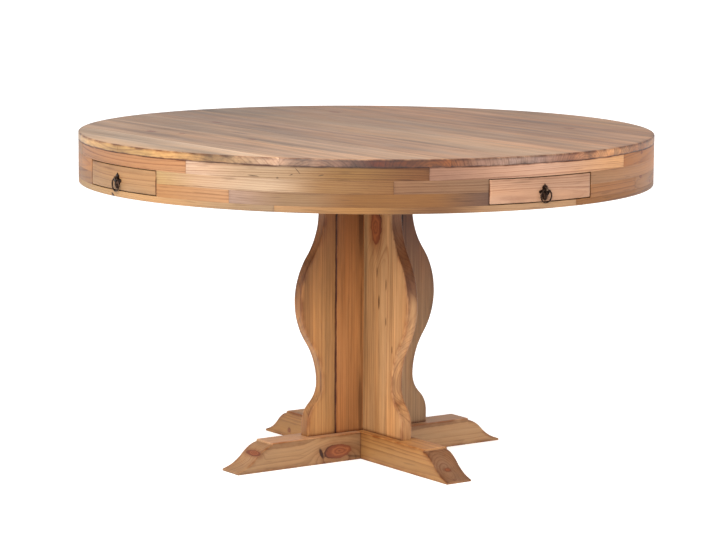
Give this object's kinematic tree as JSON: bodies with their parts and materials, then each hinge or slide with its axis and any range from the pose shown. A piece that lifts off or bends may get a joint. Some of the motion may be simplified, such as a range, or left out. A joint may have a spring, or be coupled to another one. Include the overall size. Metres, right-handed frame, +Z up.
{
  "type": "pedestal table",
  "caption": "Round pine pedestal dining table with drawers in a block-built apron, ring pulls and a crossed shaped pedestal on crossed feet.",
  "frame": {"origin": "on the floor, below the middle of the round top", "axes": "+Z up; -Y towards drawer 1 and -X towards drawer 2, which both open outwards along those axes; the crossed feet lie along X and Y"},
  "size_m": [1.3388, 1.3388, 0.762],
  "materials": {
    "pine_top": "waxed, satin",
    "pine_apron": "waxed, satin",
    "pine_drawer": "waxed, satin",
    "pine_pedestal": "waxed, satin",
    "pine_foot": "waxed, satin",
    "pine_inner": "planed, unfinished",
    "plywood": "sanded, unfinished",
    "bronze": "dark antique patina",
    "steel": "zinc plated"
  },
  "bodies": {
    "table": {"top_plank_1": "pine_top", "top_plank_2": "pine_top", "top_plank_3": "pine_top", "top_plank_4": "pine_top", "top_plank_5": "pine_top", "top_plank_6": "pine_top", "top_plank_7": "pine_top", "top_plank_8": "pine_top", "top_plank_9": "pine_top", "apron_top_course": "pine_apron", "apron_upper_course": "pine_apron", "apron_lower_course": "pine_apron", "apron_bottom_course": "pine_apron", "frame_rail_right": "pine_inner", "frame_rail_left": "pine_inner", "frame_rail_back": "pine_inner", "frame_rail_front": "pine_inner", "drawer_runners": "pine_inner", "drawer_kickers": "pine_inner", "drawer_stops": "pine_inner", "mounting_board": "pine_inner", "pedestal_core_x": "pine_pedestal", "pedestal_core_y": "pine_pedestal", "pedestal_wing_right": "pine_pedestal", "pedestal_wing_back": "pine_pedestal", "pedestal_wing_left": "pine_pedestal", "pedestal_wing_front": "pine_pedestal", "foot_beam_x": "pine_foot", "foot_beam_y": "pine_foot", "pedestal_screws": "steel", "top_screws": "steel", "foot_lag_screws": "steel"},
    "drawer_1": {"drawer_1_face": "pine_drawer", "drawer_1_sides": "pine_inner", "drawer_1_back": "pine_inner", "drawer_1_bottom": "plywood", "pull_1_plate": "bronze", "pull_1_post": "bronze"},
    "ring_1": {"pull_1_ring": "bronze"},
    "drawer_2": {"drawer_2_face": "pine_drawer", "drawer_2_sides": "pine_inner", "drawer_2_back": "pine_inner", "drawer_2_bottom": "plywood", "pull_2_plate": "bronze", "pull_2_post": "bronze"},
    "ring_2": {"pull_2_ring": "bronze"},
    "drawer_3": {"drawer_3_face": "pine_drawer", "drawer_3_sides": "pine_inner", "drawer_3_back": "pine_inner", "drawer_3_bottom": "plywood", "pull_3_plate": "bronze", "pull_3_post": "bronze"},
    "ring_3": {"pull_3_ring": "bronze"},
    "drawer_4": {"drawer_4_face": "pine_drawer", "drawer_4_sides": "pine_inner", "drawer_4_back": "pine_inner", "drawer_4_bottom": "plywood", "pull_4_plate": "bronze", "pull_4_post": "bronze"},
    "ring_4": {"pull_4_ring": "bronze"}
  },
  "joints": [
    {"name": "drawer_1_slide", "type": "slide", "parent": "table", "child": "drawer_1", "axis": [0, -1, 0], "range_m": [0, 0.25]},
    {"name": "ring_1_swing", "type": "hinge", "parent": "drawer_1", "child": "ring_1", "pos_m": [0, -0.6657, 0.689], "axis": [-1, 0, 0], "range_deg": [-8, 170]},
    {"name": "drawer_2_slide", "type": "slide", "parent": "table", "child": "drawer_2", "axis": [-1, 0, 0], "range_m": [0, 0.25]},
    {"name": "ring_2_swing", "type": "hinge", "parent": "drawer_2", "child": "ring_2", "pos_m": [-0.6657, 0, 0.689], "axis": [0, 1, 0], "range_deg": [-8, 170]},
    {"name": "drawer_3_slide", "type": "slide", "parent": "table", "child": "drawer_3", "axis": [0, 1, 0], "range_m": [0, 0.25]},
    {"name": "ring_3_swing", "type": "hinge", "parent": "drawer_3", "child": "ring_3", "pos_m": [0, 0.6657, 0.689], "axis": [1, 0, 0], "range_deg": [-8, 170]},
    {"name": "drawer_4_slide", "type": "slide", "parent": "table", "child": "drawer_4", "axis": [1, 0, 0], "range_m": [0, 0.25]},
    {"name": "ring_4_swing", "type": "hinge", "parent": "drawer_4", "child": "ring_4", "pos_m": [0.6657, 0, 0.689], "axis": [0, -1, 0], "range_deg": [-8, 170]}
  ]
}
